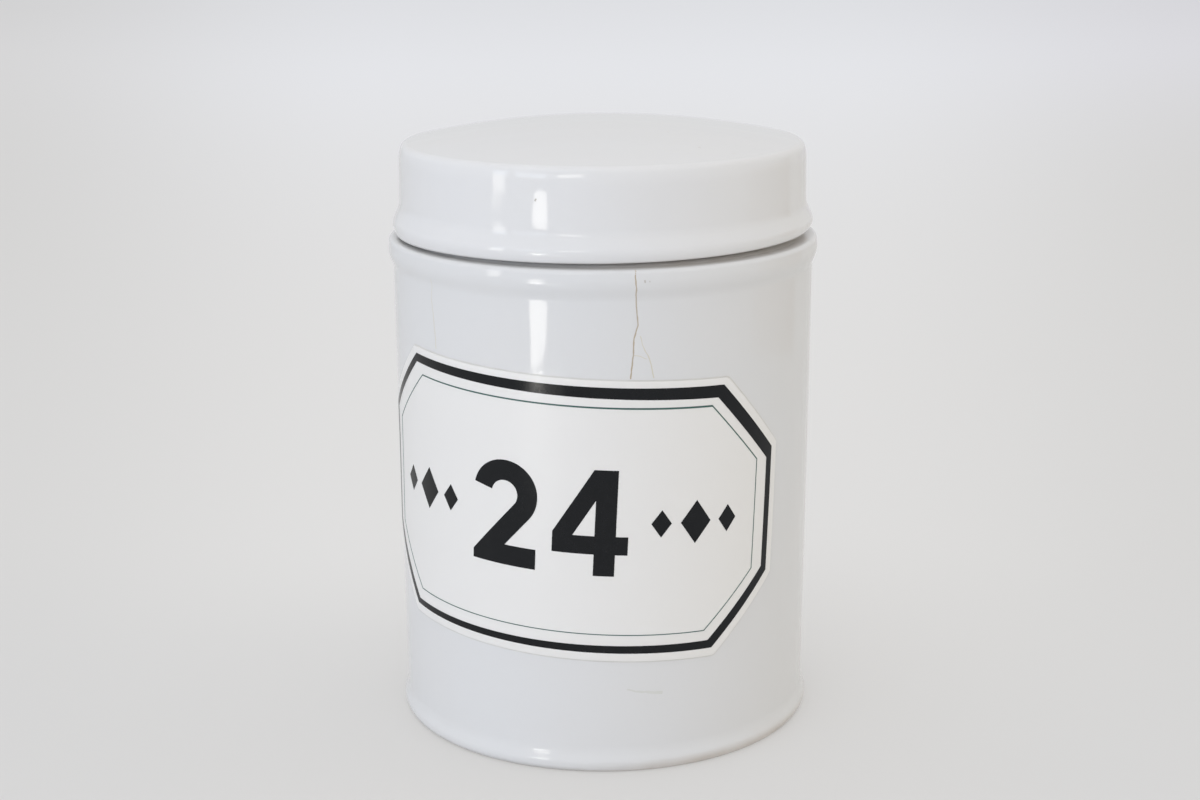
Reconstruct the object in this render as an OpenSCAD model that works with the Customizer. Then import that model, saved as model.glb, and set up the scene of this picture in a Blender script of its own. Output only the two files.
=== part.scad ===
// Ointment pot: a glazed ceramic jar with a push-over cap lid and a wrapped label.
// Millimetres, +Z up. The origin is the centre of the foot, on the surface that the pot stands on.
// The label faces -Y.

/* [Pot] */
// Outer diameter of the wall under the shoulder bead
wall_top_d = 97.2; // [88:0.2:112]
// Outer diameter of the wall above the foot
wall_low_d = 96; // [88:0.2:112]
// Thickness of the wall
wall_t = 5; // [3:0.1:6.5]
// Thickness of the floor inside the foot ring
floor_t = 5.5; // [3:0.1:9]
// Height of the shoulder under the lid's rim
shoulder_h = 114.2; // [104:0.1:150]
// Thickness of the shoulder
shoulder_t = 5; // [3.5:0.1:8]
// How far the neck is set in from the top of the wall
neck_inset = 6; // [5:0.1:7.5]
// Height of the neck above the shoulder
neck_h = 15.4; // [10:0.1:22]
// Thickness of the neck
neck_t = 4.2; // [3:0.1:6]
// Width of the low step round the foot of the neck
step_w = 2.6; // [2:0.1:3.4]
// Height of that step
step_h = 0.5; // [0.2:0.1:1.5]
// Width of the slope from the shoulder up to that step
step_slope_w = 1.4; // [0.5:0.1:2]

/* [Shoulder bead] */
// How far the bead stands out from the wall
bead_out = 1.2; // [0.6:0.1:3]
// Height of the bead, down from the shoulder
bead_h = 6.4; // [5:0.1:9]
// How far the bead's outer edge lies below the shoulder
bead_drop = 0.5; // [0.2:0.1:1.2]
// Height of the slope under the bead
bead_slope_h = 2.4; // [1:0.1:3]
// Rounding of the bead
bead_round = 2.5; // [1:0.1:3]

/* [Foot] */
// How far the foot stands out from the wall
foot_out = 1.1; // [0.3:0.1:2]
// Height of the foot's widest line
foot_h = 2; // [1.5:0.1:6]
// How far the foot draws in below its widest line
foot_tuck = 0.8; // [0.3:0.1:2]
// Height of the slope above that line
foot_slope_h = 2.8; // [1:0.1:6]
// Rounding of the foot's lower edge
foot_round = 1.2; // [1:0.1:3]
// Width of the ring under the pot, out to the foot's widest line
foot_ring_w = 8.5; // [6:0.1:12]
// Depth of the recess under the floor
foot_recess = 2.2; // [1:0.1:4]

/* [Lid] */
// Gap between the neck's step and the lid's rim, when the lid rests on the neck
lid_gap = 0.3; // [0.1:0.05:2]
// Radial clearance between the lid's skirt and the neck
lid_clearance = 0.6; // [0.3:0.05:1]
// Thickness of the lid's skirt
skirt_t = 3.6; // [2.8:0.1:5]
// How far the skirt widens from its upper edge to its rim
skirt_draft = 0.2; // [0:0.1:0.8]
// How far the rim stands out from the skirt
rim_out = 1.75; // [0.6:0.05:2.5]
// Height of the rim's widest line
rim_h = 2.3; // [1.6:0.1:4]
// How far the rim draws in below its widest line
rim_tuck = 0.9; // [0.3:0.1:1.5]
// Height of the hollow curve between that line and the skirt
cove_h = 3.9; // [1:0.1:6]
// Width of the flat ring in the lid that rests on the neck
seat_w = 5.5; // [4.5:0.1:8]
// Height of the lid's upper edge above that ring
top_t = 5.5; // [3.5:0.1:8]
// Thickness of the lid in the middle
crown_t = 5.5; // [3.5:0.1:8]
// Rise of the domed top above the lid's upper edge
dome_rise = 4.9; // [2:0.1:10]
// Rounding of the lid's upper edge
edge_round = 2.8; // [1:0.1:5]

/* [Label] */
// Width of the label along the wall
label_w = 112.2; // [70:0.2:120]
// Height of the label
label_h = 63.6; // [45:0.2:76]
// Length of the cut at each corner, along each edge
label_corner = 16.6; // [10:0.1:20]
// Height of the label's centre
label_z = 59; // [48:0.5:64]
// How far the label is turned clockwise
label_tilt = 2.8; // [0:0.1:4]
// Thickness of the label
label_t = 0.25; // [0.1:0.05:0.6]
// Bare margin outside the border, at the top and elsewhere
margin_top = 1.5; // [1:0.1:4]
margin_w = 1.9; // [1:0.1:4]
// Width of the border at the top, at the upper corners, at the lower corners and elsewhere
border_top = 2.5; // [1.2:0.1:4]
border_high_corner = 2.7; // [1.2:0.1:4]
border_low_corner = 2.2; // [1.2:0.1:4]
border_w = 2; // [1.2:0.1:4]
// Distance from the border to the fine line at the top, at the foot, at the sides and at the corners
line_gap_top = 1.8; // [1:0.1:4]
line_gap_low = 2.2; // [1:0.1:4]
line_gap_side = 3; // [1:0.1:4]
line_gap_corner = 2.3; // [1:0.1:4]
// Width of the fine line at the top and elsewhere
fine_line_top = 0.4; // [0.2:0.05:1]
fine_line_w = 0.3; // [0.2:0.05:1]
// Thickness of the printed border and fine line
print_t = 0.08; // [0.04:0.02:0.2]

/* [Hidden] */
$fn = 96;

// Film of paste behind the label, and the least gap behind the print
paste_t = 0.05;
ink_gap = 0.02;
// Largest turn of one straight step in a rounded corner
arc_step = 9;
// Straight steps from the centre of a dome to its edge
dome_steps = 14;
// Small roundings that follow the glaze
ring_round = 0.8;
glaze_round = 1.6;
bead_foot_round = 2.5;
foot_lip_round = 2.5;
wall_foot_round = 6;
step_round = 1;
neck_foot_round = 0.4;
skirt_lip_round = 0.9;
rim_low_round = 1.3;
rim_round = 2.6;
cove_round = 12;
inside_round = 6;
ceiling_round = 0.6;
// Reach of the tools that trim the label, well past the pot
trim_reach = 4 * max(wall_top_d, label_w);

wall_top_r = wall_top_d / 2;
wall_low_r = wall_low_d / 2;
foot_r = wall_low_r + foot_out;
ring_in_r = foot_r - foot_ring_w;
floor_z = foot_recess + floor_t;
wall_z0 = foot_h + foot_slope_h;
bead_z = shoulder_h - bead_h;
bead_r = wall_top_r + bead_out;
neck_r = wall_top_r - neck_inset;
mouth_r = neck_r - neck_t;
rim_z = shoulder_h + neck_h;
step_r = neck_r + step_w;
step_z = shoulder_h + step_h;
step_low_r = step_r + step_slope_w;
inside_top_r = wall_top_r - wall_t;
inside_low_r = wall_low_r - wall_t;
inside_step = inside_top_r - mouth_r;
inside_top_z = shoulder_h - shoulder_t - inside_step;

lid_in_r = neck_r + lid_clearance;
lid_r = lid_in_r + skirt_t;
skirt_low_r = lid_r + skirt_draft;
lid_rim_r = skirt_low_r + rim_out;
lid_z = step_z + lid_gap;
cavity_h = rim_z - lid_z;
lid_h = cavity_h + top_t;
seat_in_r = lid_in_r - seat_w;
ceiling_rise = top_t + dome_rise - crown_t;

label_skin = paste_t + label_t;
print_skin = label_skin + ink_gap;

function unit(v) = v / norm(v);
function at(p) = [p[0], p[1]];

// The corner b of the path a, b, c, rounded by r or by as much as its two sides allow
function corner_arc(a, b, c, r) =
    let (u = unit(a - b), v = unit(c - b), half = acos(max(-1, min(1, u * v))) / 2)
    r <= 0 || half > 89.5 ? [b] :
    let (
        reach = min(r / tan(half), 0.48 * norm(a - b), 0.48 * norm(c - b)),
        radius = reach * tan(half),
        centre = b + unit(u + v) * radius / sin(half),
        first = b + u * reach - centre,
        start = atan2(first[1], first[0]),
        turn = sign(cross(b - a, c - b)) * (180 - 2 * half),
        steps = max(1, ceil(abs(turn) / arc_step))
    )
    [for (i = [0:steps]) centre + radius * [cos(start + turn * i / steps), sin(start + turn * i / steps)]];

// A closed outline from corners [radius, height, rounding]
function rounded(corners) =
    let (n = len(corners))
    [for (i = [0:n - 1])
        each corner_arc(at(corners[(i + n - 1) % n]), at(corners[i]), at(corners[(i + 1) % n]), corners[i][2])];

// A dome's section from its centre to the start of its rounded edge, as corners with no rounding
function dome(edge_r, edge_z, rise, edge_rounding) =
    let (ball_r = (edge_r * edge_r + rise * rise) / (2 * rise))
    [for (i = [0:dome_steps])
        let (x = (edge_r - 2 * edge_rounding) * i / dome_steps)
        [x, edge_z + rise - ball_r + sqrt(ball_r * ball_r - x * x), 0]];

function reversed(list) = [for (i = [len(list) - 1:-1:0]) list[i]];

// Radius of the wall's outside at a height
function wall_r(z) = wall_low_r + (wall_top_r - wall_low_r) * (z - wall_z0) / (bead_z - wall_z0);

// Section of the jar, from the middle of its underside round to the middle of its floor
pot_section = [
    [0, foot_recess, 0],
    [ring_in_r, foot_recess, ring_round],
    [ring_in_r, 0, ring_round],
    [foot_r - foot_tuck, 0, foot_round],
    [foot_r, foot_h, foot_lip_round],
    [wall_low_r, wall_z0, wall_foot_round],
    [wall_top_r, bead_z, bead_foot_round],
    [bead_r, bead_z + bead_slope_h, bead_round],
    [bead_r, shoulder_h - bead_drop, bead_round],
    [step_low_r, shoulder_h, step_round],
    [step_r, step_z, step_round],
    [neck_r, step_z, neck_foot_round],
    [neck_r, rim_z, glaze_round],
    [mouth_r, rim_z, glaze_round],
    [mouth_r, shoulder_h - shoulder_t, inside_round],
    [inside_top_r, inside_top_z, inside_round],
    [inside_low_r, floor_z, inside_round],
    [0, floor_z, 0]
];

// Section of the lid above its rim, from the middle of its dome round to the middle of its hollow
lid_section = concat(
    dome(lid_r, lid_h, dome_rise, edge_round),
    [
        [lid_r, lid_h, edge_round],
        [skirt_low_r, rim_h + cove_h, cove_round],
        [lid_rim_r, rim_h, rim_round],
        [lid_rim_r - rim_tuck, 0, rim_low_round],
        [lid_in_r, 0, skirt_lip_round],
        [lid_in_r, cavity_h, ceiling_round],
        [seat_in_r, cavity_h, ceiling_round]
    ],
    reversed(dome(seat_in_r, cavity_h, ceiling_rise, ceiling_round))
);

// The label's outlines, as distances of their edges from its centre: sides, top, foot, upper corners and
// lower corners
label_edges = [
    label_w / 2,
    label_h / 2,
    label_h / 2,
    (label_w / 2 + label_h / 2 - label_corner) / sqrt(2),
    (label_w / 2 + label_h / 2 - label_corner) / sqrt(2)
];
border_edges = label_edges - [margin_w, margin_top, margin_w, margin_w, margin_w];
inner_edges = border_edges - [border_w, border_top, border_w, border_high_corner, border_low_corner];
line_edges = inner_edges - [line_gap_side, line_gap_top, line_gap_low, line_gap_corner, line_gap_corner];
line_inner_edges = line_edges - [fine_line_w, fine_line_top, fine_line_w, fine_line_w, fine_line_w];

// Corners of an octagon, counter-clockwise as seen from outside, turned by the label's tilt
function octagon(edges) =
    let (
        x = edges[0],
        top = edges[1],
        low = edges[2],
        high_cut = edges[3] * sqrt(2),
        low_cut = edges[4] * sqrt(2),
        flat = [
            [low_cut - low, -low], [x, x - low_cut], [x, high_cut - x], [high_cut - top, top],
            [top - high_cut, top], [-x, high_cut - x], [-x, x - low_cut], [low - low_cut, -low]
        ]
    )
    [for (p = flat)
        [p[0] * cos(label_tilt) + p[1] * sin(label_tilt), p[1] * cos(label_tilt) - p[0] * sin(label_tilt)]];

// A band round the wall, between two distances from it
module wall_band(skin_in, skin_out) {
    z0 = label_z - label_w;
    z1 = label_z + label_w;
    rotate_extrude()
        polygon([
            [wall_r(z0) + skin_in, z0], [wall_r(z0) + skin_out, z0],
            [wall_r(z1) + skin_out, z1], [wall_r(z1) + skin_in, z1]
        ]);
}

// Everything on the outer side of one edge of an outline that is wrapped on the wall
module trim_past(from, to) {
    run = to - from;
    middle = (from + to) / 2;
    wrap_r = wall_r(label_z);
    rotate([0, 0, middle[0] / wrap_r * 180 / PI])
        translate([0, -wrap_r, label_z + middle[1]])
            rotate([0, -atan2(run[1], run[0]), 0])
                translate([-trim_reach / 2, -trim_reach / 2, -trim_reach])
                    cube(trim_reach);
}

// A piece of the band round the wall, with an octagon for its outline
module wrapped(outline, skin_in, skin_out) {
    difference() {
        wall_band(skin_in, skin_out);
        for (i = [0:7])
            trim_past(outline[i], outline[(i + 1) % 8]);
    }
}

// A printed band between two octagons on the label
module printed_band(outer, inner) {
    difference() {
        wrapped(octagon(outer), print_skin, print_skin + print_t);
        wrapped(octagon(inner), label_skin - 1, label_skin + 1);
    }
}

module pot() {
    color([0.84, 0.85, 0.87])
        rotate_extrude() polygon(rounded(pot_section));
}

module lid() {
    color([0.86, 0.87, 0.88])
        translate([0, 0, lid_z])
            rotate_extrude() polygon(rounded(lid_section));
}

module label() {
    color([0.93, 0.92, 0.90])
        wrapped(octagon(label_edges), paste_t, label_skin);
}

module label_border() {
    color([0.06, 0.06, 0.07])
        printed_band(border_edges, inner_edges);
}

module label_fine_line() {
    color([0.06, 0.06, 0.07])
        printed_band(line_edges, line_inner_edges);
}

pot();
lid();
label();
label_border();
label_fine_line();
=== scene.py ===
"""The looks of an ointment pot: a glazed jar and lid, and a wrapped label with a shaded border.

Sizes are written in millimetres and become metres where the meshes are made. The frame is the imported
model's: +Z up, origin under the foot, label facing -Y. An angle on the wall is counted from -Y, and is
positive to the right of someone who looks at the label.
"""
from math import acos, ceil, cos, exp, pi, radians, remainder, sin, sqrt, tan

import bmesh
import bpy
from mathutils import Matrix, Vector, noise


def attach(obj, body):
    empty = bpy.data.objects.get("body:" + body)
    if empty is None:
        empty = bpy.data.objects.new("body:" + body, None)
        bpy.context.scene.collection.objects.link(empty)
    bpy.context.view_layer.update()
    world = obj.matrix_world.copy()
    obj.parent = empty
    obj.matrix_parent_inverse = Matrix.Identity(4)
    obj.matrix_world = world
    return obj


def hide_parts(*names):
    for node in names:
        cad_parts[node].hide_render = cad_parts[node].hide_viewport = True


MM = 0.001

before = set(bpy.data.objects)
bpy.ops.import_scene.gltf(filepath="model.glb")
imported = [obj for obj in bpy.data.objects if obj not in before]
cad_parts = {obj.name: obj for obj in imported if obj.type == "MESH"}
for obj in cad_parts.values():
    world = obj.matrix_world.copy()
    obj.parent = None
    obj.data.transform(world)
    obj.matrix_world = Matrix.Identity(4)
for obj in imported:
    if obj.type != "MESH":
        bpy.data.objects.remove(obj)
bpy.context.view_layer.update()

# Section of the pot
WALL_TOP_R = 48.6
WALL_LOW_R = 48.0
WALL_LOW_Z = 4.8
WALL_T = 5.0
FLOOR_Z = 7.7
SHOULDER_H = 114.2
SHOULDER_T = 5.0
STEP_LOW_R = 46.6
STEP_R = 45.2
STEP_H = 0.5
NECK_R = 42.6
NECK_TOP = 129.6
MOUTH_R = 38.4
BEAD_R = 49.8
BEAD_LOW_Z = SHOULDER_H - 6.4
BEAD_SLOPE_H = 2.8
BEAD_LEAN = 0.35
BEAD_DROP = 0.3
FOOT_R = 49.1
FOOT_H = 2.0
FOOT_TUCK = 0.8
FOOT_RING_IN_R = 40.6
FOOT_RECESS = 2.2
INSIDE_TOP_R = WALL_TOP_R - WALL_T
INSIDE_TOP_Z = SHOULDER_H - SHOULDER_T

# Section of the lid, counted up from its rim
LID_LOW = 115.0
LID_IN_R = 43.2
LID_R = 46.8
SKIRT_LOW_R = 47.0
LID_RIM_R = 48.75
RIM_TUCK = 0.9
RIM_LOW_R = LID_RIM_R - RIM_TUCK
RIM_H = 2.3
COVE_TOP = 6.1
CAVITY_H = NECK_TOP - LID_LOW
SEAT_IN_R = 37.7
LID_EDGE_H = 20.1
LID_LEAN_H = 2.6
LID_LEAN = 0.65
DOME_RISE = 4.9
CEILING_RISE = 4.9

# Roundings
BEAD_ROUND = 6.0
BEAD_TOP_ROUND = 1.1
BEAD_FOOT_ROUND = 4.0
FOOT_ROUND = 1.2
FOOT_LIP_ROUND = 2.5
WALL_FOOT_ROUND = 6.0
GLAZE_ROUND = 1.6
RING_ROUND = 0.8
STEP_ROUND = 1.0
NECK_FOOT_ROUND = 0.4
INSIDE_ROUND = 6.0
LIP_ROUND = 0.9
RIM_LOW_ROUND = 1.3
RIM_ROUND = 2.6
COVE_ROUND = 5.0
LID_EDGE_ROUND = 2.0
LID_LEAN_ROUND = 9.0
CEILING_ROUND = 0.6

# How finely shapes are drawn
TURN_STEPS = 320
ARC_STEP = radians(5)
DOME_STEPS = 24
LONGEST_STEP = 2.0
BEVEL_STEPS = 3
# The largest share of an edge that a rounding takes, half the angle from which a corner counts as straight,
# and the angle between two faces from which their edge is sharp
ROUND_SHARE = 0.48
STRAIGHT_HALF_ANGLE = radians(89.5)
SHARP_ANGLE = radians(40)

# How far fired ware strays from a true circle, and the lid's rim from a plane
OVAL = 0.12
OVAL_PHASE = 0.6
LONG_WAVE = 0.10
LONG_WAVE_PITCH = 38.0
SHORT_WAVE = 0.014
SHORT_WAVE_PITCH = 9.0
RIM_WARP = 0.46
RIM_WARP_TURN = radians(125)
RIM_WARP_H = 7.0
RIM_RISE = 0.17
RIM_DIP = 0.38
RIM_DIP_TURN = radians(-58)
RIM_DIP_SPREAD = radians(30)

# Label
LABEL_Z = 59.0
LABEL_TILT = radians(2.8)
LABEL_SUNK = 0.02
LABEL_T = 0.3
LABEL_CELL_W = 1.0
LABEL_CELL_H = 3.0
LABEL_EDGE_ROUND = 0.12
LABEL_CORNER_ROUND = 1.6
PRINT_T = 0.06
PRINT_SUNK = 0.01
PRINT_LIFT = LABEL_T - PRINT_SUNK
# A thin ring round the label's edge: grime with the painted shadow of the label's edge
GRIME_SHADOW_OUT = 0.3
GRIME_SHADOW_IN = 0.1
GRIME_SHADOW_T = 0.035
# The label's outlines, as distances of their edges from its centre: side, top, foot, upper corner and lower
# corner. The inner outlines have other values on the left, where the print is lighter.
LABEL_EDGES = (56.1, 31.8, 31.8, 50.4, 50.4)
BORDER_EDGES = (54.2, 30.3, 29.9, 48.5, 48.5)
INNER_EDGES = (52.45, 27.55, 28.0, 45.6, 46.4)
INNER_LEFT_EDGES = (52.8, 28.4, 28.5, 47.0, 47.0)
LINE_EDGES = (49.2, 26.0, 25.7, 43.5, 44.0)
LINE_INNER_EDGES = (49.0, 25.58, 25.5, 43.25, 43.8)
LINE_INNER_LEFT_EDGES = (49.0, 25.72, 25.5, 43.3, 43.8)

# Numeral on the label
NUMERAL_H = 24.0
NUMERAL_GAP = 3.6
STROKE = 4.6
TWO_W = 15.5
TWO_TURN = radians(-40)
TWO_END = radians(168)
FOUR_W = 16.5
FOUR_ARM = 2.7
FOUR_BAR_LOW = 4.9
FOUR_BAR_TOP = FOUR_BAR_LOW + 0.9 * STROKE
FOUR_TIP = 0.6
FOUR_HEEL = 0.5
FOUR_HOLE_W = 4.8
# Lozenges on both sides of it: distance from the label's middle, half width and half height
LOZENGES = ((25.0, 2.3, 3.1), (33.0, 3.6, 4.9), (41.0, 2.3, 3.1))

# Marks in the glaze: places as (angle in degrees, height), then the widths at both ends
CRACKS = (
    (((22.7, 114.0), (22.9, 108.6), (23.3, 102.1), (22.5, 99.5), (22.2, 95.2), (21.6, 90.4)), 0.24, 0.30),
)
PALE_CRACKS = (
    (((24.0, 99.7), (25.2, 96.7), (26.5, 94.4), (27.1, 92.2), (27.5, 90.4)), 0.14, 0.24),
    (((22.4, 95.5), (24.2, 95.4), (25.8, 94.7)), 0.14, 0.10),
    (((-35.0, 109.1), (-35.6, 103.8), (-34.6, 98.0), (-34.2, 93.4)), 0.08, 0.18),
)
POT_FLECKS = (
    (((24.9, 111.9), (24.95, 111.3)), 0.30, 0.22),
    (((26.1, 111.7), (26.15, 111.4)), 0.24, 0.16),
)
SCUFFS = (
    (((20.6, 19.6), (24.0, 19.0), (28.1, 18.4), (30.2, 18.3)), 0.30, 0.75),
)
LID_FLECKS = (
    (((-2.8, 128.0), (-2.4, 128.5)), 0.34, 0.26),
    (((55.4, 138.85), (55.8, 138.89)), 0.45, 0.35),
    (((50.2, 137.02), (50.7, 137.08)), 0.50, 0.40),
    (((56.7, 135.88), (57.1, 135.93)), 0.45, 0.35),
)
MARK_STEP = 0.4
MARK_LIFT = 0.012
MARK_DEPTH = 0.08
# How a mark strays, bends and swells: by how much, over which length, and a number that sets them apart
MARK_STRAY = (0.12, 1.3, 0)
MARK_BEND = (0.24, 5.0, 7)
MARK_SWELL = (0.5, 0.9, 3)
# The radii between which an outline is the outside that carries marks
POT_SIDE_RADII = (FOOT_RING_IN_R + 1, NECK_R + 0.2)
LID_SIDE_RADII = (LID_IN_R + 1, 1.0)

# Camera, fitted to the photograph's ellipses
CAMERA_AZIMUTH = radians(14.8)
CAMERA_DISTANCE = 459.5
CAMERA_HEIGHT = 193.1
CAMERA_PITCH = radians(14.61)
CAMERA_YAW = radians(-0.11)
CAMERA_ROLL = radians(-0.30)
LENS = 60.0
SENSOR_W = 36.0


def corner_arc(before, corner, after, rounding):
    """The points that round one corner of an outline."""
    to_before = (before - corner).normalized()
    to_after = (after - corner).normalized()
    half = acos(max(-1.0, min(1.0, to_before.dot(to_after)))) / 2
    if rounding <= 0 or half > STRAIGHT_HALF_ANGLE:
        return [corner]
    longest = ROUND_SHARE * (before - corner).length, ROUND_SHARE * (after - corner).length
    reach = min(rounding / tan(half), *longest)
    radius = reach * tan(half)
    centre = corner + (to_before + to_after).normalized() * radius / sin(half)
    first = corner + to_before * reach - centre
    path_turn = (corner - before).cross(after - corner)
    sweep = (pi - 2 * half) * (1 if path_turn > 0 else -1)
    steps = max(1, ceil(abs(sweep) / ARC_STEP))
    return [centre + Matrix.Rotation(sweep * i / steps, 2) @ first for i in range(steps + 1)]


def rounded(corners):
    """An outline from (radius, height, rounding) corners. It starts and ends on the axis."""
    points = [Vector((r, z)) for r, z, _ in corners]
    outline = [points[0]]
    for i in range(1, len(points) - 1):
        outline += corner_arc(points[i - 1], points[i], points[i + 1], corners[i][2])
    outline.append(points[-1])
    return outline


def dome(edge_r, edge_z, rise, edge_rounding):
    """A dome's section from its centre to the start of its rounded edge, as corners with no rounding."""
    ball_r = (edge_r ** 2 + rise ** 2) / (2 * rise)
    steps = [(edge_r - 2 * edge_rounding) * i / DOME_STEPS for i in range(DOME_STEPS + 1)]
    return [(x, edge_z + rise - ball_r + sqrt(ball_r ** 2 - x ** 2), 0) for x in steps]


def refined(outline):
    """The outline with its long straight stretches cut into short steps."""
    points = [outline[0]]
    for end in outline[1:]:
        start = points[-1]
        steps = max(1, ceil((end - start).length / LONGEST_STEP))
        points += [start.lerp(end, i / steps) for i in range(1, steps + 1)]
    return points


POT_OUTLINE = refined(rounded([
    (0, FOOT_RECESS, 0),
    (FOOT_RING_IN_R, FOOT_RECESS, RING_ROUND),
    (FOOT_RING_IN_R, 0, RING_ROUND),
    (FOOT_R - FOOT_TUCK, 0, FOOT_ROUND),
    (FOOT_R, FOOT_H, FOOT_LIP_ROUND),
    (WALL_LOW_R, WALL_LOW_Z, WALL_FOOT_ROUND),
    (WALL_TOP_R, BEAD_LOW_Z, BEAD_FOOT_ROUND),
    (BEAD_R, BEAD_LOW_Z + BEAD_SLOPE_H, BEAD_ROUND),
    (BEAD_R - BEAD_LEAN, SHOULDER_H - BEAD_DROP, BEAD_TOP_ROUND),
    (STEP_LOW_R, SHOULDER_H, STEP_ROUND),
    (STEP_R, SHOULDER_H + STEP_H, STEP_ROUND),
    (NECK_R, SHOULDER_H + STEP_H, NECK_FOOT_ROUND),
    (NECK_R, NECK_TOP, GLAZE_ROUND),
    (MOUTH_R, NECK_TOP, GLAZE_ROUND),
    (MOUTH_R, INSIDE_TOP_Z, INSIDE_ROUND),
    (INSIDE_TOP_R, INSIDE_TOP_Z - (INSIDE_TOP_R - MOUTH_R), INSIDE_ROUND),
    (WALL_LOW_R - WALL_T, FLOOR_Z, INSIDE_ROUND),
    (0, FLOOR_Z, 0),
]))

LID_OUTLINE = refined(rounded([(r, LID_LOW + z, rounding) for r, z, rounding in (
    dome(SEAT_IN_R, CAVITY_H, CEILING_RISE, CEILING_ROUND)
    + [
        (SEAT_IN_R, CAVITY_H, CEILING_ROUND),
        (LID_IN_R, CAVITY_H, CEILING_ROUND),
        (LID_IN_R, 0, LIP_ROUND),
        (RIM_LOW_R, 0, RIM_LOW_ROUND),
        (LID_RIM_R, RIM_H, RIM_ROUND),
        (SKIRT_LOW_R, COVE_TOP, COVE_ROUND),
        (LID_R, LID_EDGE_H - LID_LEAN_H, LID_LEAN_ROUND),
        (LID_R - LID_LEAN, LID_EDGE_H, LID_EDGE_ROUND),
    ]
    + dome(LID_R - LID_LEAN, LID_EDGE_H, DOME_RISE, LID_EDGE_ROUND)[::-1]
)]))


def wobble(angle, height):
    """How far the fired wall strays outward here from its true circle."""
    place = Vector((sin(angle) * WALL_TOP_R, -cos(angle) * WALL_TOP_R, height))
    long_wave = LONG_WAVE * noise.noise(place / LONG_WAVE_PITCH)
    short_wave = SHORT_WAVE * noise.noise(place / SHORT_WAVE_PITCH)
    return OVAL * cos(2 * angle + OVAL_PHASE) + long_wave + short_wave


def at_angle(radius, angle, height):
    """A place in the frame, in metres."""
    return Vector((radius * sin(angle), -radius * cos(angle), height)) * MM


def pot_skin(radius, angle, height):
    """A place on the pot as it was fired."""
    return at_angle(radius + wobble(angle, height) * min(1, radius / NECK_R), angle, height)


def lid_skin(radius, angle, height):
    """A place on the lid as it was fired. Its rim isn't in one plane, but stays clear of the pot's step."""
    near_rim = max(0.0, 1 - (height - LID_LOW) / RIM_WARP_H)
    from_dip = remainder(angle - RIM_DIP_TURN, 2 * pi) / RIM_DIP_SPREAD
    warp = RIM_WARP * cos(angle - RIM_WARP_TURN) + RIM_RISE - RIM_DIP * exp(-from_dip ** 2)
    if warp < 0:
        past_step = (radius - STEP_LOW_R) / (RIM_LOW_R - STEP_LOW_R)
        warp *= min(1, max(0, past_step))
    return pot_skin(radius, angle, height + warp * near_rim ** 2)


def new_mesh(name, points, faces):
    """A mesh from its points and faces."""
    mesh = bpy.data.meshes.new(name)
    mesh.from_pydata(points, [], faces)
    return mesh


def add_object(name, data):
    """A new object in the scene."""
    thing = bpy.data.objects.new(name, data)
    bpy.context.scene.collection.objects.link(thing)
    return thing


def add_piece(mesh, body, slot, material, *nodes):
    """Puts a mesh in the scene as a piece that rides on a body and stands for some CAD nodes."""
    piece = add_object(mesh.name, mesh)
    mesh.materials.append(material)
    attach(piece, body)
    if nodes:
        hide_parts(*nodes)


def turned_mesh(name, outline, skin):
    """A closed mesh turned about Z from an outline that starts and ends on the axis."""
    angles = [2 * pi * i / TURN_STEPS for i in range(TURN_STEPS)]
    points = [at_angle(0, 0, outline[0].y)]
    for r, z in outline[1:-1]:
        points += [skin(r, a, z) for a in angles]
    points.append(at_angle(0, 0, outline[-1].y))
    last = len(points) - 1
    rings = len(outline) - 2
    top = 1 + (rings - 1) * TURN_STEPS
    faces = []
    for j in range(TURN_STEPS):
        k = (j + 1) % TURN_STEPS
        faces.append((0, 1 + k, 1 + j))
        for low in range(1, top, TURN_STEPS):
            high = low + TURN_STEPS
            faces.append((low + j, low + k, high + k, high + j))
        faces.append((top + j, top + k, last))
    mesh = new_mesh(name, points, faces)
    mesh.shade_smooth()
    return mesh


class Side:
    """The outside of a turned piece, unrolled: x runs round at the wall's radius, y up along the outline."""

    def __init__(self, points, skin):
        self.points = points
        self.skin = skin
        self.runs = [0.0]
        for start, end in zip(points, points[1:]):
            self.runs.append(self.runs[-1] + (end - start).length)

    def run_at(self, height):
        """How far along the outline a height is first reached."""
        for i, (start, end) in enumerate(zip(self.points, self.points[1:])):
            if end.y >= height:
                return self.runs[i] + (height - start.y) / (end.y - start.y) * (end - start).length
        return self.runs[-1]

    def place(self, x, y, lift):
        """A place in the frame, some way above the surface."""
        i = max(k for k in range(len(self.runs) - 1) if k == 0 or self.runs[k] <= y)
        start = self.points[i]
        along = (self.points[i + 1] - start).normalized()
        spot = start + along * (y - self.runs[i]) + Vector((along.y, -along.x)) * lift
        return self.skin(spot.x, x / WALL_TOP_R, spot.y)


def side_of(outline, skin, low_r, high_r):
    """A piece's side, from where its outline first rises past one radius to where it comes in to another."""
    first = next(i for i, p in enumerate(outline) if p.x > low_r and outline[i + 1].y > p.y)
    last = next(i for i, p in enumerate(outline) if i > first and p.x < high_r)
    return Side(outline[first:last], skin)


def uneven(run, seed, most, pitch, row):
    """A smooth made-up change along a mark."""
    return most * noise.noise(Vector((run / pitch, seed, row)))


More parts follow.
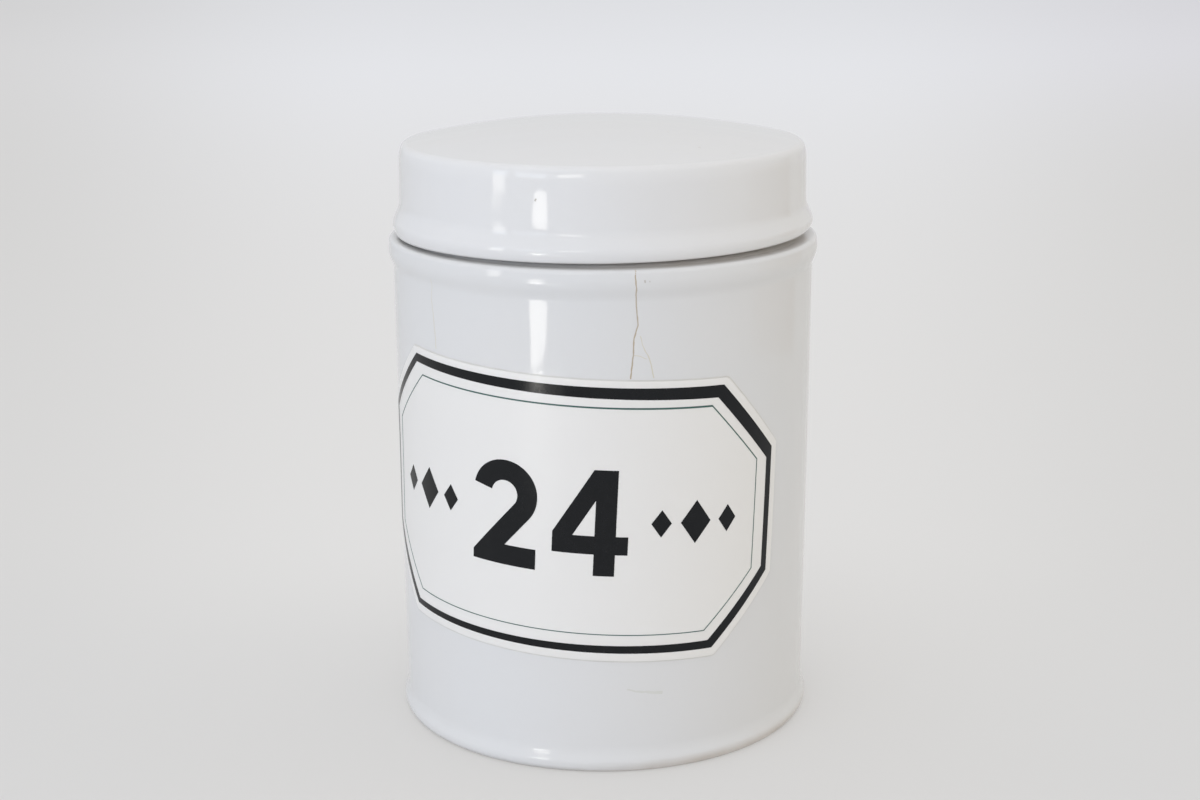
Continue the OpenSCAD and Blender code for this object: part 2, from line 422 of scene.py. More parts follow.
def strand(side, path, first_width, last_width, seed):
    """The middle line of a mark in short steps, as (x, y, width)."""
    corners = [Vector((radians(a) * WALL_TOP_R, side.run_at(z))) for a, z in path]
    length = sum((b - a).length for a, b in zip(corners, corners[1:]))
    steps = []
    run = 0.0
    for start, end in zip(corners, corners[1:]):
        along = (end - start).normalized()
        count = ceil((end - start).length / MARK_STEP)
        for i in range(count + (end is corners[-1])):
            here = run + (end - start).length * i / count
            stray = uneven(here, seed, *MARK_STRAY) + uneven(here, seed, *MARK_BEND)
            spot = start.lerp(end, i / count) + Vector((-along.y, along.x)) * stray
            width = first_width + (last_width - first_width) * here / length
            width *= 1 + uneven(here, seed, *MARK_SWELL)
            steps.append((spot.x, spot.y, width))
        run += (end - start).length
    return steps


def ribbon_mesh(name, side, strands):
    """Thin closed ribbons in the surface of a side, one for each strand."""
    section = ((1, MARK_LIFT), (-1, MARK_LIFT), (-1, -MARK_DEPTH), (1, -MARK_DEPTH))
    sides = len(section)
    points = []
    faces = []
    for steps in strands:
        base = len(points)
        for i, (x, y, width) in enumerate(steps):
            before = steps[max(0, i - 1)]
            after = steps[min(len(steps) - 1, i + 1)]
            along = Vector((after[0] - before[0], after[1] - before[1])).normalized()
            across = Vector((-along.y, along.x)) * width / 2
            for sign, lift in section:
                points.append(side.place(x + sign * across.x, y + sign * across.y, lift))
        end = len(points) - sides
        for low in range(base, end, sides):
            high = low + sides
            for j in range(sides):
                k = (j + 1) % sides
                faces.append((low + j, low + k, high + k, high + j))
        faces.append(range(base, base + sides)[::-1])
        faces.append(range(end, end + sides))
    return new_mesh(name, points, faces)


def wall_r(z):
    """Radius of the plain wall at a height."""
    return WALL_LOW_R + (WALL_TOP_R - WALL_LOW_R) * (z - WALL_LOW_Z) / (BEAD_LOW_Z - WALL_LOW_Z)


def on_label(across, up, lift):
    """A place in the frame from a place on the label, counted from its centre, and a lift off the wall."""
    along = across * cos(LABEL_TILT) + up * sin(LABEL_TILT)
    z = LABEL_Z + up * cos(LABEL_TILT) - across * sin(LABEL_TILT)
    angle = along / wall_r(LABEL_Z)
    return at_angle(wall_r(z) + wobble(angle, z) + lift, angle, z)


def cut_in_cells(flat):
    """Cuts a flat mesh by a grid, so that it can follow the wall."""
    side, top = LABEL_EDGES[:2]
    across = Vector((1, 0, 0))
    up = Vector((0, 1, 0))
    for normal, reach, cell in ((across, side, LABEL_CELL_W), (up, top, LABEL_CELL_H)):
        for i in range(-int(reach / cell), int(reach / cell) + 1):
            everything = flat.verts[:] + flat.edges[:] + flat.faces[:]
            bmesh.ops.bisect_plane(flat, geom=everything, plane_co=normal * cell * i, plane_no=normal)


def wrapped_mesh(name, loops, lift, thickness, edge_round=0):
    """A thin closed sheet on the wall, from flat outlines of which the later ones may be holes or islands."""
    flat = bmesh.new()
    for loop in loops:
        corners = [flat.verts.new((x, y, 0)) for x, y in loop]
        for i, corner in enumerate(corners):
            flat.edges.new((corner, corners[(i + 1) % len(corners)]))
    bmesh.ops.triangle_fill(flat, use_beauty=True, use_dissolve=False, edges=flat.edges[:])
    cut_in_cells(flat)
    raised = bmesh.ops.extrude_face_region(flat, geom=flat.faces[:])["geom"]
    outside = {v for v in raised if isinstance(v, bmesh.types.BMVert)}
    for v in flat.verts:
        v.co = on_label(v.co.x, v.co.y, lift + (thickness if v in outside else 0))
    bmesh.ops.recalc_face_normals(flat, faces=flat.faces[:])
    if edge_round:
        rim = [
            e for e in flat.edges
            if all(v in outside for v in e.verts) and e.calc_face_angle(0) > SHARP_ANGLE
        ]
        offset = edge_round * MM
        bmesh.ops.bevel(flat, geom=rim, offset=offset, segments=BEVEL_STEPS, profile=0.5, affect="EDGES")
    mesh = bpy.data.meshes.new(name)
    flat.to_mesh(mesh)
    flat.free()
    mesh.shade_smooth()
    mesh.set_sharp_from_angle(angle=SHARP_ANGLE)
    return mesh


def half_octagon(edges):
    """The four corners of the right half of an octagon, upward, from the distances of its edges."""
    side, top, low, high_corner, low_corner = edges
    high_cut = high_corner * sqrt(2)
    low_cut = low_corner * sqrt(2)
    return [(low_cut - low, -low), (side, side - low_cut), (side, high_cut - side), (high_cut - top, top)]


def octagon(edges, left_edges=None):
    """An outline on the label from the distances of its edges from the centre."""
    right = half_octagon(edges)
    left = half_octagon(left_edges or edges)
    return [Vector(p) for p in right + [(-x, y) for x, y in left[::-1]]]


def label_outline(grow=0):
    """The label's own outline with its rounded corners, or one that lies further out."""
    loop = octagon([edge + grow for edge in LABEL_EDGES])
    outline = []
    for i, corner in enumerate(loop):
        outline += corner_arc(loop[i - 1], corner, loop[(i + 1) % len(loop)], LABEL_CORNER_ROUND)
    return outline


def arc(centre, radius, start, end):
    """Points of an arc from one direction to another."""
    steps = ceil(abs(end - start) / ARC_STEP)
    turns = [start + (end - start) * i / steps for i in range(steps + 1)]
    return [centre + Vector((cos(t), sin(t))) * radius for t in turns]


def numeral_two():
    """The outline of the figure 2, standing on y = 0 to the right of x = 0."""
    outer_r = TWO_W / 2
    inner_r = outer_r - STROKE
    centre = Vector((outer_r, NUMERAL_H - outer_r))
    outer = arc(centre, outer_r, TWO_TURN, TWO_END)
    inner = arc(centre, inner_r, TWO_END, TWO_TURN)
    slope = 1 / tan(-TWO_TURN)
    crook_x = outer[0].x - (outer[0].y - STROKE) / slope
    heel_y = inner[-1].y - inner[-1].x * slope
    foot = [Vector((0, 0)), Vector((TWO_W, 0)), Vector((TWO_W, STROKE)), Vector((crook_x, STROKE))]
    return [foot + outer + inner + [Vector((0, heel_y))]]


def numeral_four():
    """The outlines of the figure 4, standing on y = 0 to the right of x = 0, and of its hole."""
    stem_x = FOUR_W - FOUR_ARM
    inner_x = stem_x - STROKE
    tip_x = inner_x - FOUR_TIP
    heel_y = FOUR_BAR_TOP + FOUR_HEEL
    shape = [
        (inner_x, 0), (stem_x, 0), (stem_x, FOUR_BAR_LOW), (FOUR_W, FOUR_BAR_LOW), (FOUR_W, FOUR_BAR_TOP),
        (stem_x, FOUR_BAR_TOP), (stem_x, NUMERAL_H), (tip_x, NUMERAL_H), (0, heel_y), (0, FOUR_BAR_LOW),
        (inner_x, FOUR_BAR_LOW),
    ]
    slope = (NUMERAL_H - FOUR_BAR_TOP - FOUR_HEEL) / tip_x
    hole_top = FOUR_BAR_TOP + FOUR_HOLE_W * slope
    hole = [(inner_x, FOUR_BAR_TOP), (inner_x, hole_top), (inner_x - FOUR_HOLE_W, FOUR_BAR_TOP)]
    return [[Vector(p) for p in shape], [Vector(p) for p in hole]]


def numeral_loops():
    """The outlines of the number on the label, round the label's centre."""
    width = TWO_W + NUMERAL_GAP + FOUR_W
    low_left = Vector((-width / 2, -NUMERAL_H / 2))
    two = [[p + low_left for p in loop] for loop in numeral_two()]
    four_place = low_left + Vector((TWO_W + NUMERAL_GAP, 0))
    four = [[p + four_place for p in loop] for loop in numeral_four()]
    return two + four


def lozenge_loops():
    """The outlines of the lozenges on both sides of the number."""
    loops = []
    for middle, half_w, half_h in LOZENGES:
        for x in (middle, -middle):
            corners = (x - half_w, 0), (x, -half_h), (x + half_w, 0), (x, half_h)
            loops.append([Vector(p) for p in corners])
    return loops


def add_node(tree, kind, inputs=(), **settings):
    """Adds a node. Its inputs are given as (name or number, value or socket) pairs."""
    node = tree.nodes.new(kind)
    for name, value in settings.items():
        setattr(node, name, value)
    for name, value in inputs:
        if isinstance(value, bpy.types.NodeSocket):
            tree.links.new(value, node.inputs[name])
        else:
            node.inputs[name].default_value = value
    return node


def calc(tree, operation, *values):
    """The result of a calculation with numbers."""
    return add_node(tree, "ShaderNodeMath", enumerate(values), operation=operation).outputs[0]


def product(tree, first, second):
    """One number times another."""
    return calc(tree, "MULTIPLY", first, second)


def larger(tree, first, second):
    """The larger of two numbers."""
    return calc(tree, "MAXIMUM", first, second)


def vector_calc(tree, operation, output, *values):
    """One result of a calculation with vectors."""
    return add_node(tree, "ShaderNodeVectorMath", enumerate(values), operation=operation).outputs[output]


def ramp(tree, value, start, end, reach=1.0):
    """A smooth rise from 0 where the value is at the start to the reach where it is at the end."""
    inputs = (("Value", value), ("From Min", start), ("From Max", end), ("To Max", reach))
    return add_node(tree, "ShaderNodeMapRange", inputs, interpolation_type="SMOOTHSTEP").outputs[0]


def blend(tree, factor, first, second):
    """A colour that goes from the first to the second as the factor goes from 0 to 1."""
    inputs = ((0, factor), (6, first), (7, second))
    return add_node(tree, "ShaderNodeMix", inputs, data_type="RGBA").outputs[2]


def blend_number(tree, factor, first, second):
    """A number that goes from the first to the second as the factor goes from 0 to 1."""
    inputs = ((0, factor), (2, first), (3, second))
    return add_node(tree, "ShaderNodeMix", inputs, data_type="FLOAT").outputs[0]


def mix_shaders(tree, share, first, second):
    """A shader that goes from the first node's to the second's as the share goes from 0 to 1."""
    inputs = ((0, share), (1, first.outputs[0]), (2, second.outputs[0]))
    return add_node(tree, "ShaderNodeMixShader", inputs).outputs[0]


# The values between which nearly all of Blender's noise lies
NOISE_LOW = 0.15
NOISE_HIGH = 0.85


def cloud(tree, place, pitch, low, high, detail=2.0):
    """A soft uneven pattern of numbers from low to high, with patches about as wide as the pitch."""
    inputs = (("Vector", place), ("Scale", 1 / pitch), ("Detail", detail))
    pattern = add_node(tree, "ShaderNodeTexNoise", inputs).outputs[0]
    span = (("From Min", NOISE_LOW), ("From Max", NOISE_HIGH), ("To Min", low), ("To Max", high))
    return add_node(tree, "ShaderNodeMapRange", (("Value", pattern), *span)).outputs[0]


def start_material(name):
    """A new material: its tree, its shader, and the place on the piece in millimetres."""
    material = bpy.data.materials.new(name)
    material.use_nodes = True
    tree = material.node_tree
    coordinates = add_node(tree, "ShaderNodeTexCoord")
    scaling = (("Vector", coordinates.outputs["Object"]), ("Scale", 1 / MM))
    place = add_node(tree, "ShaderNodeVectorMath", scaling, operation="SCALE").outputs[0]
    return material, tree, tree.nodes["Principled BSDF"], place


def add_bump(tree, shader, height, depth):
    """Lets a pattern of numbers stand out of the surface by a depth in millimetres."""
    inputs = (("Height", height), ("Strength", 1.0), ("Distance", depth * MM))
    bump = add_node(tree, "ShaderNodeBump", inputs)
    tree.links.new(bump.outputs[0], shader.inputs["Normal"])


# How wide the patches of gloss are beside those of colour
GLOSS_PATCH_SHARE = 0.6


def mottled_material(name, first, second, pitch, roughness, specular=0.5):
    """A material of two close colours in soft patches, with a roughness that varies between two values."""
    material, tree, shader, place = start_material(name)
    tint = blend(tree, cloud(tree, place, pitch, 0, 1), (*first, 1), (*second, 1))
    tree.links.new(tint, shader.inputs["Base Color"])
    gloss = cloud(tree, place, GLOSS_PATCH_SHARE * pitch, *roughness)
    tree.links.new(gloss, shader.inputs["Roughness"])
    shader.inputs["Specular IOR Level"].default_value = specular
    return material


# Glaze: its tints, the soil and painted shade on it and the bare ware, with the widths of the patches
POT_COOL = (0.732, 0.735, 0.738, 1)
POT_WARM = (0.744, 0.735, 0.722, 1)
LID_COOL = (0.768, 0.767, 0.770, 1)
LID_WARM = (0.780, 0.768, 0.754, 1)
TINT_PITCH = 45
GLAZE_ROUGHNESS = (0.045, 0.085)
GLOSS_PITCH = 14
RIPPLE_PITCH = 6
RIPPLE_DETAIL = 1.0
RIPPLE_DEPTH = 0.012
SOIL_SHADE_GREY = (0.22, 0.19, 0.15, 1)
SOIL_SHADE_BROWN = (0.34, 0.20, 0.07, 1)
SOIL_SHADE_PITCH = 6
SOIL_SHADE_SPREAD = (0.45, 1.0)
SOIL_SHADE_DETAIL = 4.0
BISCUIT = (0.62, 0.57, 0.49, 1)
BISCUIT_ROUGHNESS = 0.85
# Where soil, painted shade and bare ware fade in: from, to and, where it isn't full there, how strong
GREY_TO_BROWN = (-5, 30)
# Painted shade with soil on the shoulder under the lid's rim
UNDER_RIM_SOIL_SHADE = (LID_RIM_R - 0.1, LID_RIM_R - 1.3, 0.26)
ABOVE_BEAD = (SHOULDER_H - 1.2, SHOULDER_H - 0.3)
BELOW_NECK = (SHOULDER_H + 9, SHOULDER_H + 1)
# Painted contact shade with soil low on the foot, only towards its right side
FOOT_SOIL_SHADE = (3.4, 0.8, 0.40)
FOOT_SOIL_SHADE_SIDE = (2, 32)
# Painted contact shade with soil at the standing edge, all round
CONTACT_SOIL_SHADE = (1.5, 0.1, 0.5)
RIM_EDGE_DARKENING = (LID_LOW + 0.5, LID_LOW - 0.2, 0.4)
BARE_RING = (0.14, 0.08)
BARE_NECK = (NECK_TOP - 0.3, NECK_TOP - 0.12)
ABOVE_SKIRT = (NECK_TOP - 0.2, NECK_TOP - 0.1)
BELOW_CEILING = (NECK_TOP + 0.4, NECK_TOP + 0.3)
INSIDE_SKIRT = (LID_IN_R + 0.2, LID_IN_R)


def glaze_material(name, cool, warm, soil_shade_of, bare_of):
    """White glaze, darkened in its corners by soil and painted shade, and bare where it was wiped off before
    the firing.
    """
    material, tree, shader, place = start_material(name)
    across, _, height = add_node(tree, "ShaderNodeSeparateXYZ", ((0, place),)).outputs
    flat_place = vector_calc(tree, "MULTIPLY", "Vector", place, (1, 1, 0))
    radius = vector_calc(tree, "LENGTH", "Value", flat_place)
    tint = blend(tree, cloud(tree, place, TINT_PITCH, 0, 1), cool, warm)
    patchy = cloud(tree, place, SOIL_SHADE_PITCH, *SOIL_SHADE_SPREAD, SOIL_SHADE_DETAIL)
    soil_shade = blend(tree, ramp(tree, across, *GREY_TO_BROWN), SOIL_SHADE_GREY, SOIL_SHADE_BROWN)
    soil_shaded = blend(tree, product(tree, soil_shade_of(tree, across, height, radius), patchy), tint, soil_shade)
    bare = bare_of(tree, height, radius)
    tree.links.new(blend(tree, bare, soil_shaded, BISCUIT), shader.inputs["Base Color"])
    gloss = cloud(tree, place, GLOSS_PITCH, *GLAZE_ROUGHNESS)
    tree.links.new(blend_number(tree, bare, gloss, BISCUIT_ROUGHNESS), shader.inputs["Roughness"])
    add_bump(tree, shader, cloud(tree, place, RIPPLE_PITCH, 0, 1, RIPPLE_DETAIL), RIPPLE_DEPTH)
    return material


def pot_soil_shade(tree, across, height, radius):
    """Soil with painted shade on the shoulder under the lid's rim, and soil with painted contact shade where
    the foot meets the table, reaching higher on the right side.
    """
    shaded = product(tree, ramp(tree, radius, *UNDER_RIM_SOIL_SHADE), ramp(tree, height, *ABOVE_BEAD))
    on_shoulder = product(tree, shaded, ramp(tree, height, *BELOW_NECK))
    on_foot = product(tree, ramp(tree, height, *FOOT_SOIL_SHADE), ramp(tree, across, *FOOT_SOIL_SHADE_SIDE))
    return larger(tree, on_shoulder, larger(tree, on_foot, ramp(tree, height, *CONTACT_SOIL_SHADE)))


def pot_bare(tree, height, radius):
    """The standing ring and the top of the neck, at any radius."""
    return larger(tree, ramp(tree, height, *BARE_RING), ramp(tree, height, *BARE_NECK))


def lid_rim_darkening(tree, across, height, radius):
    """Darker towards the lower edge of the rim, all round."""
    return ramp(tree, height, *RIM_EDGE_DARKENING)


def lid_bare(tree, height, radius):
    """The flat ring inside that sits on the neck."""
    at_seat = product(tree, ramp(tree, height, *ABOVE_SKIRT), ramp(tree, height, *BELOW_CEILING))
    return product(tree, at_seat, ramp(tree, radius, *INSIDE_SKIRT))


pot_glaze = glaze_material("pot_glaze", POT_COOL, POT_WARM, pot_soil_shade, pot_bare)
lid_glaze = glaze_material("lid_glaze", LID_COOL, LID_WARM, lid_rim_darkening, lid_bare)
label_white = mottled_material(
    "label_white", (0.833, 0.817, 0.791), (0.825, 0.808, 0.778), pitch=60, roughness=(0.31, 0.38)
)
label_black = mottled_material(
    "label_black", (0.004, 0.005, 0.0065), (0.007, 0.008, 0.0095), pitch=1.5, roughness=(0.12, 0.22),
    specular=0.25,
)
label_grey = mottled_material(
    "label_grey", (0.035, 0.098, 0.084), (0.075, 0.14, 0.122), pitch=10, roughness=(0.3, 0.45),
    specular=0.35,
)
# Grime with painted shadow, for the ring round the label's edge
grime_and_shadow = mottled_material(
    "grime_and_shadow", (0.60, 0.585, 0.555), (0.70, 0.69, 0.665), pitch=4, roughness=(0.3, 0.6)
)
crack_stain = mottled_material(
    "crack_stain", (0.47, 0.37, 0.25), (0.52, 0.47, 0.41), pitch=4, roughness=(0.3, 0.5)
)
pale_stain = mottled_material(
    "pale_stain", (0.62, 0.57, 0.44), (0.66, 0.63, 0.54), pitch=3, roughness=(0.3, 0.5)
)
scuff = mottled_material(
    "scuff", (0.665, 0.662, 0.625), (0.70, 0.697, 0.665), pitch=3, roughness=(0.15, 0.25)
)
fleck = mottled_material(
    "fleck", (0.46, 0.43, 0.39), (0.58, 0.55, 0.51), pitch=1, roughness=(0.3, 0.5)
)


def add_marks(name, side, marks, body, slot, material):
    """Hairlines, flecks or scuffs in the glaze of one side."""
    lines = [strand(side, *mark, seed) for seed, mark in enumerate(marks)]
    add_piece(ribbon_mesh(name, side, lines), body, slot, material)


def add_print(name, loops, ink, *nodes):
    """A layer of print on the label."""
    add_piece(wrapped_mesh(name, loops, PRINT_LIFT, PRINT_T), "pot", "label_ink", ink, *nodes)


add_piece(turned_mesh("pot_ceramic", POT_OUTLINE, pot_skin), "pot", "pot_glaze", pot_glaze, "pot")
add_piece(turned_mesh("lid_ceramic", LID_OUTLINE, lid_skin), "lid", "lid_glaze", lid_glaze, "lid")

POT_SIDE = side_of(POT_OUTLINE, pot_skin, *POT_SIDE_RADII)
LID_SIDE = side_of(LID_OUTLINE, lid_skin, *LID_SIDE_RADII)
add_marks("pot_cracks", POT_SIDE, CRACKS, "pot", "pot_glaze", crack_stain)
add_marks("pot_pale_cracks", POT_SIDE, PALE_CRACKS, "pot", "pot_glaze", pale_stain)
add_marks("pot_flecks", POT_SIDE, POT_FLECKS, "pot", "pot_glaze", fleck)
add_marks("pot_scuff", POT_SIDE, SCUFFS, "pot", "pot_glaze", scuff)
add_marks("lid_flecks", LID_SIDE, LID_FLECKS, "lid", "lid_glaze", fleck)

sheet_mesh = wrapped_mesh(
    "label_sheet", [label_outline()], -LABEL_SUNK, LABEL_SUNK + LABEL_T, LABEL_EDGE_ROUND
)
add_piece(sheet_mesh, "pot", "label_ground", label_white, "label")
# Grime with the painted shadow of the label's edge, in a thin ring round it
grime_shadow_loops = [label_outline(GRIME_SHADOW_OUT), label_outline(-GRIME_SHADOW_IN)]
grime_shadow_mesh = wrapped_mesh("label_grime_shadow", grime_shadow_loops, -LABEL_SUNK, GRIME_SHADOW_T)
add_piece(grime_shadow_mesh, "pot", "label_ground", grime_and_shadow)

border_loops = [octagon(BORDER_EDGES), octagon(INNER_EDGES, INNER_LEFT_EDGES)]
line_loops = [octagon(LINE_EDGES), octagon(LINE_INNER_EDGES, LINE_INNER_LEFT_EDGES)]
add_print("label_border_print", border_loops, label_black, "label_border")
add_print("label_line_print", line_loops, label_grey, "label_fine_line")
add_print("label_numeral", numeral_loops(), label_black)
add_print("label_lozenges", lozenge_loops(), label_black)

# Floor: its size in metres, its finish, and its colours, which paint a pool of light round the object and
# dimmer floor beside that pool
FLOOR_REACH = 8.0
FLOOR_ROUGHNESS = 0.7
FLOOR_SHADE_SHARE = 0.5
LIT_POOL_NEAR = (0.724, 0.715, 0.704, 1)
LIT_POOL_BEHIND = (0.793, 0.786, 0.776, 1)
LIT_POOL_FAR = (0.90, 0.91, 0.94, 1)
BESIDE_NEAR = (0.706, 0.701, 0.694, 1)
BESIDE_BEHIND = (0.724, 0.718, 0.708, 1)
BESIDE_FAR_LEFT = (0.785, 0.78, 0.78, 1)
BESIDE_FAR_RIGHT = (0.825, 0.82, 0.855, 1)
# Where one colour goes over into the next, in millimetres back from the object or to its right
LIT_POOL_TO_BEHIND = (-60, 120)
LIT_POOL_TO_FAR = (150, 1800)
BESIDE_TO_BEHIND = (-60, 150)
BESIDE_TO_FAR = (600, 2000)
LEFT_TO_RIGHT = (-500, 500)
# The painted pool of light widens backward from a point this far in front, and its edge lies between these
# slopes
LIT_POOL_TIP = 500.0
LIT_POOL_EDGE = (0.10, 0.32)


def floor_colour(tree, place):
    """The floor's colour, with a painted pool of light and dimmer floor beside it, laid out along the
    camera's direction.
    """
    back = (-sin(CAMERA_AZIMUTH), cos(CAMERA_AZIMUTH), 0)
    right = (cos(CAMERA_AZIMUTH), sin(CAMERA_AZIMUTH), 0)
    depth = vector_calc(tree, "DOT_PRODUCT", "Value", place, back)
    aside = vector_calc(tree, "DOT_PRODUCT", "Value", place, right)
    slope = calc(tree, "DIVIDE", aside, calc(tree, "ADD", depth, LIT_POOL_TIP))
    # A painted pool of light, lighter behind the object and far off
    lit_pool = blend(tree, ramp(tree, depth, *LIT_POOL_TO_BEHIND), LIT_POOL_NEAR, LIT_POOL_BEHIND)
    lit_pool = blend(tree, ramp(tree, depth, *LIT_POOL_TO_FAR), lit_pool, LIT_POOL_FAR)
    beside = blend(tree, ramp(tree, depth, *BESIDE_TO_BEHIND), BESIDE_NEAR, BESIDE_BEHIND)
    # Painted light on the far floor beside the pool, brighter and cooler on the right
    far = blend(tree, ramp(tree, aside, *LEFT_TO_RIGHT), BESIDE_FAR_LEFT, BESIDE_FAR_RIGHT)
    beside = blend(tree, ramp(tree, depth, *BESIDE_TO_FAR), beside, far)
    return blend(tree, ramp(tree, calc(tree, "ABSOLUTE", slope), *LIT_POOL_EDGE), lit_pool, beside)


def add_floor():
    """A pale floor. A part of what is seen of it is its plain colour, and the rest takes light and shade."""
    corners = [(x * FLOOR_REACH, y * FLOOR_REACH, 0) for x, y in ((-1, -1), (1, -1), (1, 1), (-1, 1))]
    mesh = new_mesh("floor", corners, [(0, 1, 2, 3)])
    material, tree, shader, place = start_material("floor")
    colour = floor_colour(tree, place)
    tree.links.new(colour, shader.inputs["Base Color"])
    shader.inputs["Roughness"].default_value = FLOOR_ROUGHNESS
    plain = add_node(tree, "ShaderNodeEmission", (("Color", colour),))
    path = add_node(tree, "ShaderNodeLightPath")
    seen = larger(tree, path.outputs["Is Camera Ray"], path.outputs["Is Glossy Ray"])
    both = mix_shaders(tree, product(tree, seen, 1 - FLOOR_SHADE_SHARE), shader, plain)
    tree.links.new(both, tree.nodes["Material Output"].inputs[0])
    mesh.materials.append(material)
    add_object("floor", mesh)


def add_camera():
    """The camera, from its distance, height and turns."""
    data = bpy.data.cameras.new("camera")
    data.lens = LENS
    data.sensor_width = SENSOR_W
    data.sensor_fit = "HORIZONTAL"
    camera = add_object("camera", data)
    level = cos(CAMERA_PITCH)
    ahead = Vector((sin(CAMERA_YAW) * level, cos(CAMERA_YAW) * level, -sin(CAMERA_PITCH)))
    right = Vector((cos(CAMERA_YAW), -sin(CAMERA_YAW), 0))
    up = right.cross(ahead)
    rolled_right = right * cos(CAMERA_ROLL) + up * sin(CAMERA_ROLL)
    rolled_up = up * cos(CAMERA_ROLL) - right * sin(CAMERA_ROLL)
    turn = Matrix((rolled_right, rolled_up, -ahead)).transposed().to_4x4()
    place = Matrix.Translation(at_angle(CAMERA_DISTANCE, 0, CAMERA_HEIGHT))
    camera.matrix_world = Matrix.Rotation(CAMERA_AZIMUTH, 4, "Z") @ place @ turn
    bpy.context.scene.camera = camera


# The room's even light, and the brightness that gloss shows of it, about that of the floor
ROOM_LIGHT = (0.98, 0.985, 1.0, 1)
ROOM_LIGHT_STRENGTH = 0.533
ROOM_IN_GLOSS = (0.97, 0.98, 1.0, 1)
ROOM_IN_GLOSS_STRENGTH = 0.75


def add_world():
    """Even light from all round."""
    world = bpy.data.worlds.new("room")
    world.use_nodes = True
    tree = world.node_tree
    soft = tree.nodes["Background"]
    soft.inputs["Color"].default_value = ROOM_LIGHT
    soft.inputs["Strength"].default_value = ROOM_LIGHT_STRENGTH
    seen_inputs = (("Color", ROOM_IN_GLOSS), ("Strength", ROOM_IN_GLOSS_STRENGTH))
    seen = add_node(tree, "ShaderNodeBackground", seen_inputs)
    path = add_node(tree, "ShaderNodeLightPath")
    both = mix_shaders(tree, path.outputs["Is Glossy Ray"], soft, seen)
    tree.links.new(both, tree.nodes["World Output"].inputs[0])
    bpy.context.scene.world = world


# Soft lights: name, azimuth from the camera's in degrees, height, distance, (width, height), power, colour.
# Their sizes and places are in metres.
LIGHTS = (
    ("overhead", 0, 2.5, 0.01, (3.0, 3.0), 25.0, (1, 0.99, 0.99)),
    ("low_left", -60, 0.30, 1.6, (1.0, 0.6), 3.65, (0.69, 0.80, 1.0)),
    ("low_front", -18, 0.30, 1.6, (1.0, 0.6), 3.1, (0.86, 0.88, 1.0)),
    ("low_right", 88, 0.30, 1.6, (1.0, 0.6), 3.9, (1.0, 0.91, 0.71)),
    ("window", -36, 0.60, 1.8, (1.4, 0.28), 3.9, (0.83, 0.92, 1.0)),
    ("front", -4, 0.62, 0.95, (0.6, 0.5), 0.62, (1.0, 0.985, 0.94)),
)
LIGHT_AIM = Vector((0, 0, 0.07))


def add_light(name, azimuth, height, distance, size, power, colour):
    """A flat soft light that faces the pot and doesn't show in it."""
    data = bpy.data.lights.new(name, "AREA")
    data.shape = "RECTANGLE"
    data.size, data.size_y = size
    data.energy = power
    data.color = colour
    light = add_object(name, data)
    light.location = at_angle(distance / MM, CAMERA_AZIMUTH + radians(azimuth), height / MM)
    light.rotation_euler = (LIGHT_AIM - light.location).to_track_quat("-Z", "Y").to_euler()
    light.visible_camera = False
    light.visible_glossy = False


# Cards that the glaze and the print mirror. Corners are azimuths from the camera's in degrees and heights, or
# for those that lie on the floor azimuths, heights and distances.
CARD_DISTANCE = 400.0
WARM_PANE = (1.0, 0.975, 0.92, 1)
COOL_PANE = (0.80, 0.90, 1.0, 1)
BROWN = (1.0, 0.88, 0.78, 1)


def upright(*outline):
    """The corners of an upright card from azimuths and heights."""
    return [(azimuth, z, CARD_DISTANCE) for azimuth, z in outline]


LOW_PANE = upright(
    (-35.5, 45), (-36.9, 26), (-36.8, 18), (-36.5, 9), (-36.8, 5), (-36.7, 0.5), (-34.4, 0.5), (-33.2, 2.2),
    (-31.6, 5.2), (-29.9, 9), (-28.9, 13.5), (-28, 18), (-27.9, 26), (-30.5, 45),
)
HIGH_PANE = upright(
    (-37.4, 60), (-28.4, 60), (-28.2, 87), (-29.2, 92.5), (-33.6, 92.5), (-35, 87), (-35.9, 82), (-36.8, 76)
)
SIDE_PANE = upright((-58.3, 205), (-58, 85), (-51, 86), (-51, 205))
SIDE_PANE_LOW = upright((-59.6, 83.5), (-59.6, 78.5), (-53.5, 79), (-53.5, 84))
WINDOW_LEFT = upright((-59, 268), (-59, 207), (-51.5, 207), (-51.5, 262))
WINDOW_MIDDLE = upright((-45, 256), (-45, 196), (-29, 196), (-29, 250))
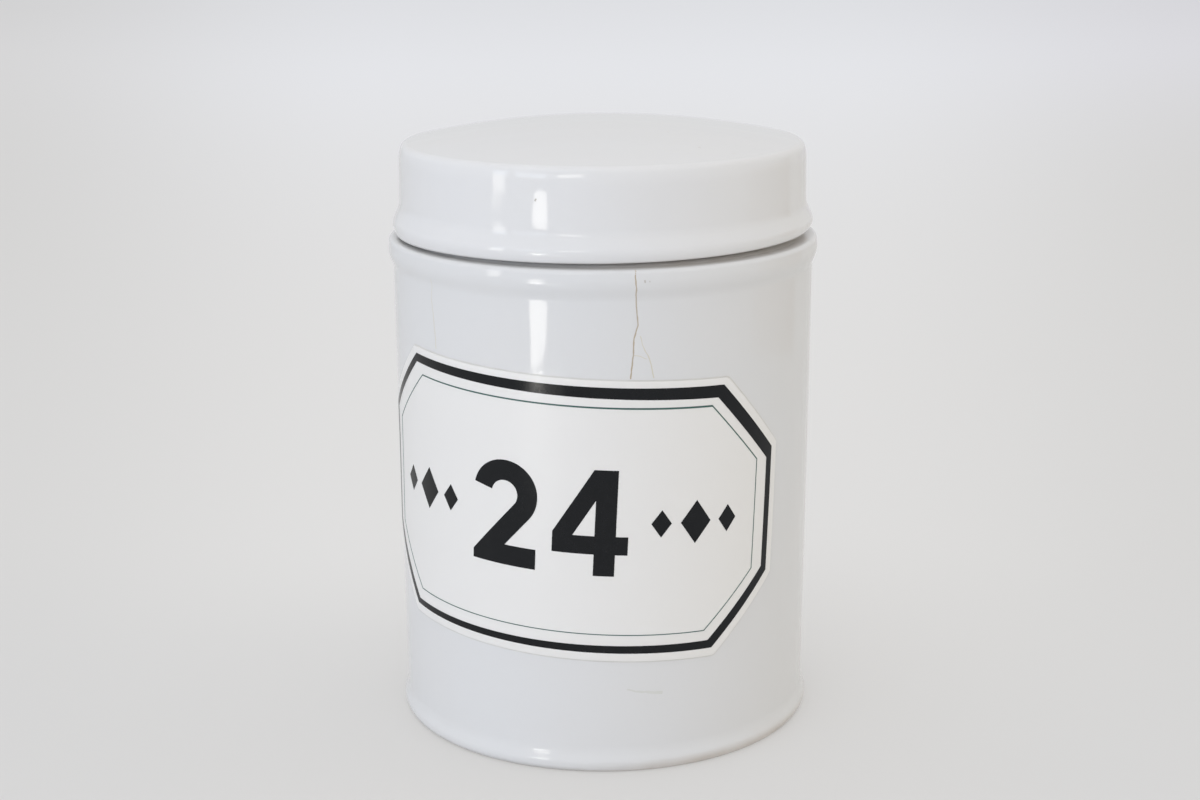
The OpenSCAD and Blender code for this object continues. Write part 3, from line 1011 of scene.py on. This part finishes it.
WINDOW_RIGHT = upright((-23, 252), (-23, 206), (-9.5, 226), (-9.5, 274))
DARK_BAND = upright((84, 0.5), (92, 0.5), (100, 0.5), (100, 160), (92, 160), (84, 160))
DARK_SIDE = upright((100, 0.5), (111, 0.5), (122, 0.5), (122, 160), (111, 160), (100, 160))
SILL = ((-35.6, 0.5, 384), (-30.2, 0.5, 384), (-30.2, 0.5, 350), (-35.6, 0.5, 350))
SILL_SIDES = ((-39, 0.4, 384), (-20.5, 0.4, 384), (-20.5, 0.4, 350), (-39, 0.4, 350))
CARDS = (
    ("low_pane", WARM_PANE, 6.4, LOW_PANE),
    ("high_pane", WARM_PANE, 6.0, HIGH_PANE),
    ("side_pane", WARM_PANE, 3.8, SIDE_PANE),
    ("side_pane_low", WARM_PANE, 2.4, SIDE_PANE_LOW),
    ("window_left", COOL_PANE, 3.6, WINDOW_LEFT),
    ("window_middle", COOL_PANE, 2.6, WINDOW_MIDDLE),
    ("window_right", WARM_PANE, 4.4, WINDOW_RIGHT),
    ("sill", WARM_PANE, 20.0, SILL),
    ("sill_sides", WARM_PANE, 5.6, SILL_SIDES),
    ("dark_band", BROWN, 0.56, DARK_BAND),
    ("dark_side", BROWN, 0.52, DARK_SIDE),
)


def add_card(name, colour, strength, outline):
    """A glowing card that shows only in reflections, and neither lights the floor nor casts a shadow."""
    corners = [at_angle(r, CAMERA_AZIMUTH + radians(azimuth), z) for azimuth, z, r in outline]
    mesh = new_mesh(name, corners, [tuple(range(len(corners)))])
    material = bpy.data.materials.new(name)
    material.use_nodes = True
    tree = material.node_tree
    glow = add_node(tree, "ShaderNodeEmission", (("Color", colour), ("Strength", strength)))
    tree.links.new(glow.outputs[0], tree.nodes["Material Output"].inputs[0])
    mesh.materials.append(material)
    card = add_object(name, mesh)
    card.visible_camera = False
    card.visible_diffuse = False
    card.visible_shadow = False


add_floor()
add_camera()
add_world()
for light_values in LIGHTS:
    add_light(*light_values)
for card_values in CARDS:
    add_card(*card_values)
bpy.context.scene.view_settings.view_transform = "Standard"
